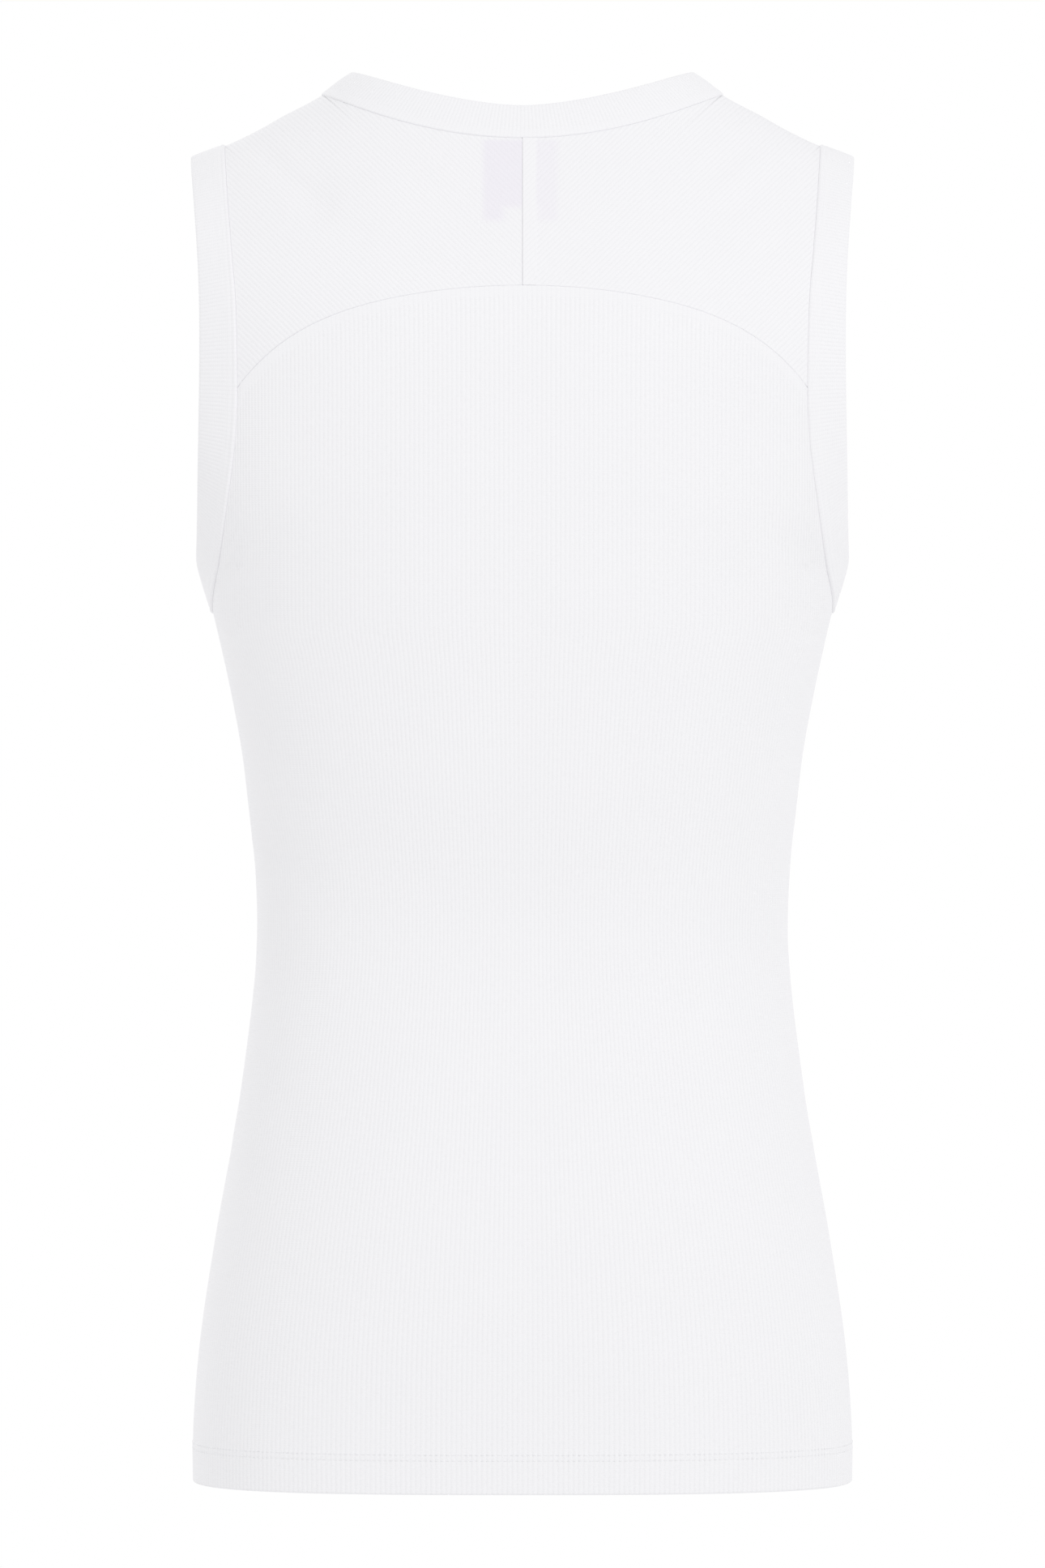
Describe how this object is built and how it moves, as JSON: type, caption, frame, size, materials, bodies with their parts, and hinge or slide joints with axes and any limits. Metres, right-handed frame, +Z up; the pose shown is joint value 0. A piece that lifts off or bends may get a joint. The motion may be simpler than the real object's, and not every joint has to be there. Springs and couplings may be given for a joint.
{
  "type": "tank top",
  "caption": "Sleeveless ribbed top, filled out as if worn: front, lower back, split back yoke, neckband, armbands and a turned hem, all open below, at the neck and at the arms.",
  "frame": {"origin": "midway between the two shoulder seams, level with their inner faces, where a wearer's shoulders carry the garment", "axes": "+Z up from the hem to the neck, +Y out of the back, -Y out of the front, +X towards the wearer's left"},
  "size_m": [0.3438, 0.2391, 0.7287],
  "materials": {
    "rib_cotton": "fine white cotton rib knit, matt",
    "band_rib": "doubled white cotton rib, matt",
    "label_tape": "plain woven tape, pale lilac white"
  },
  "bodies": {
    "root": {"front": "rib_cotton", "back": "rib_cotton", "yoke_left": "rib_cotton", "yoke_right": "rib_cotton", "neckband": "band_rib", "armband_left": "band_rib", "armband_right": "band_rib", "neck_label": "label_tape"}
  },
  "joints": []
}
